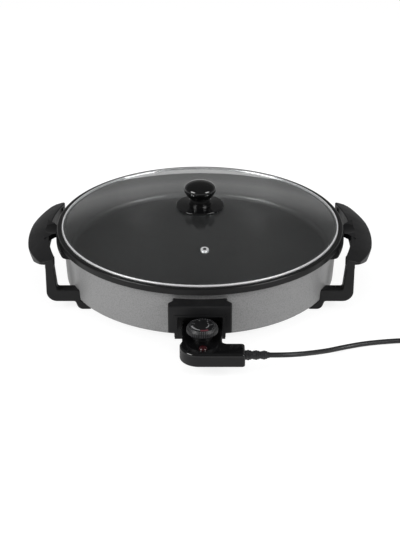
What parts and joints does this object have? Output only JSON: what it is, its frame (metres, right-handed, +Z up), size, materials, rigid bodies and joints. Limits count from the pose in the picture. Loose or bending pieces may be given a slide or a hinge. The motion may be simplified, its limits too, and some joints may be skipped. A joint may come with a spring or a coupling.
{
  "type": "electric grill pan",
  "caption": "Round electric grill pan with a domed glass lid, footed side handles and a plug-in dial thermostat on a mains lead.",
  "frame": {"origin": "on the table under the pan's axis, in the plane of the feet", "axes": "+X to the right handle, +Y to the back away from the thermostat, +Z up"},
  "size_m": [0.6442, 0.4965, 0.1557],
  "materials": {
    "nonstick": "black non-stick coating, satin",
    "casing_grey": "grey hammertone paint, fine speckle",
    "handle_black": "black moulded plastic, satin",
    "gloss_black": "black moulded plastic, glossy",
    "lid_glass": "clear tempered glass",
    "steel": "plain steel",
    "bright_metal": "bright plated",
    "aluminium": "cast",
    "brass": "plain",
    "ceramic": "white heat-proof moulding",
    "silicone": "black seal",
    "cord_black": "black cable sheath",
    "lens_red": "red, lets light through",
    "lamp_glass": "small glow lamp"
  },
  "bodies": {
    "pan": {"cooking_dish": "nonstick", "outer_casing": "casing_grey", "base_plate": "steel", "heating_element": "steel", "element_clamp_plate": "steel", "dish_studs": "steel", "clamp_nuts": "steel", "base_nuts": "steel", "probe_well": "aluminium", "terminal_block": "handle_black", "terminal_pins": "bright_metal", "socket_guard": "handle_black", "guard_screws": "steel", "right_handle_grip": "handle_black", "left_handle_grip": "handle_black", "rear_right_leg": "handle_black", "front_right_leg": "handle_black", "rear_left_leg": "handle_black", "front_left_leg": "handle_black", "grip_screws": "steel", "leg_screws": "steel", "leg_nuts": "steel"},
    "lid": {"lid_glass": "lid_glass", "lid_rim": "steel", "vent_eyelet": "bright_metal", "lid_knob": "gloss_black", "knob_flange": "gloss_black", "knob_gasket": "silicone", "knob_insert": "brass", "knob_washer": "steel", "knob_screw": "steel"},
    "thermostat": {"thermostat_base_cover": "handle_black", "thermostat_top_cover": "gloss_black", "cover_screws": "steel", "probe_tube": "bright_metal", "contact_sockets": "brass", "switch_carrier": "ceramic", "bimetal_arm": "steel", "fixed_contact": "brass", "neon_lamp": "lamp_glass", "indicator_lens": "lens_red", "strain_relief": "cord_black", "cord_lead": "cord_black", "cord_coil": "cord_black", "cord_tie": "cord_black", "mains_plug": "handle_black", "plug_pins": "bright_metal"},
    "dial": {"dial_knob": "gloss_black", "dial_spindle": "steel"}
  },
  "joints": [
    {"name": "lid_lift", "type": "slide", "parent": "pan", "child": "lid", "axis": [0, 0, 1], "range_m": [0, 0.15]},
    {"name": "thermostat_pull", "type": "slide", "parent": "pan", "child": "thermostat", "axis": [0, -1, 0], "range_m": [0, 0.09]},
    {"name": "dial_turn", "type": "hinge", "parent": "thermostat", "child": "dial", "pos_m": [0.003, -0.2415, 0.05], "axis": [0, 0, -1], "range_deg": [0, 270]}
  ]
}
